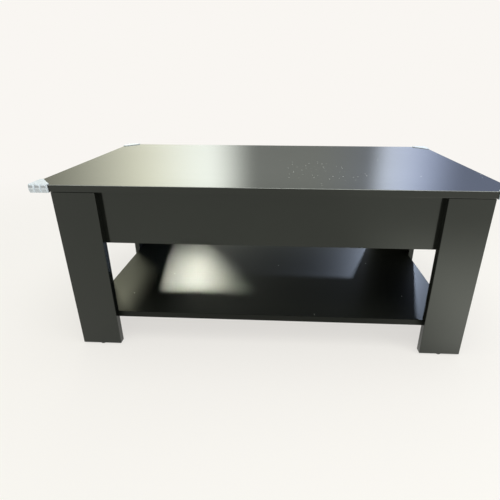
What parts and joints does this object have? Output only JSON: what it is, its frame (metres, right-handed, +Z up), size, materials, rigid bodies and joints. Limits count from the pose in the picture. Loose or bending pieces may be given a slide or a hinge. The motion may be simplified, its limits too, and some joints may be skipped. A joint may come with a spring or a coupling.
{
  "type": "lift top coffee table",
  "caption": "Black coffee table with a top that lifts up and forward on sprung parallel arms over a storage box, L-shaped corner legs and a lower shelf.",
  "frame": {"origin": "On the floor, under the middle of the top.", "axes": "+X along the table's length, -Y towards the sitter, where the top comes forward, +Z up."},
  "size_m": [0.988, 0.488, 0.4068],
  "materials": {
    "black_melamine": "satin black melamine-faced board",
    "white_plastic": "white moulded plastic, slightly translucent",
    "black_plastic": "black moulded plastic",
    "clear_rubber": "clear silicone",
    "zinc": "zinc-plated steel",
    "beech": "plain turned wood",
    "black_steel": "black powder-coated steel",
    "nylon": "natural nylon",
    "spring_steel": "bright spring wire"
  },
  "bodies": {
    "carcass": {"leg_face_front_left": "black_melamine", "leg_side_front_left": "black_melamine", "leg_face_front_right": "black_melamine", "leg_side_front_right": "black_melamine", "leg_face_rear_left": "black_melamine", "leg_side_rear_left": "black_melamine", "leg_face_rear_right": "black_melamine", "leg_side_rear_right": "black_melamine", "front_panel": "black_melamine", "back_panel": "black_melamine", "compartment_floor": "black_melamine", "lower_shelf": "black_melamine", "end_rail_left": "black_melamine", "end_rail_right": "black_melamine", "foot_glides": "black_plastic", "top_bumpers": "clear_rubber", "cam_locks": "zinc", "cam_bolts": "zinc", "wood_dowels": "beech", "base_bracket_left": "black_steel", "base_bracket_right": "black_steel", "base_pivots": "zinc", "stop_pins": "zinc", "base_studs": "zinc", "base_bracket_screws": "zinc", "base_washers": "nylon", "front_spacers": "nylon", "lift_springs": "spring_steel"},
    "rear_arms": {"rear_arm_left": "black_steel", "rear_arm_right": "black_steel", "arm_studs": "zinc"},
    "front_arms": {"front_arm_left": "black_steel", "front_arm_right": "black_steel"},
    "lift_top": {"lift_top_panel": "black_melamine", "corner_guard_front_left": "white_plastic", "corner_guard_front_right": "white_plastic", "corner_guard_rear_left": "white_plastic", "corner_guard_rear_right": "white_plastic", "top_bracket_left": "black_steel", "top_bracket_right": "black_steel", "top_pivots": "zinc", "top_washers": "nylon", "top_bracket_screws": "zinc"}
  },
  "joints": [
    {"name": "lift", "type": "hinge", "parent": "carcass", "child": "rear_arms", "pos_m": [0, -0.05, 0.32802], "axis": [1, 0, 0], "range_deg": [0, 114], "deforming": ["lift_springs"]},
    {"name": "front_arm_swing", "type": "hinge", "parent": "carcass", "child": "front_arms", "pos_m": [0, -0.14, 0.32802], "axis": [1, 0, 0], "range_deg": [0, 114]},
    {"name": "top_level", "type": "hinge", "parent": "rear_arms", "child": "lift_top", "pos_m": [0, 0.16596, 0.37], "axis": [1, 0, 0], "range_deg": [-114, 0]}
  ],
  "couplings": [
    {"joint": "front_arm_swing", "follows": "lift", "ratio": 1},
    {"joint": "top_level", "follows": "lift", "ratio": -1}
  ]
}
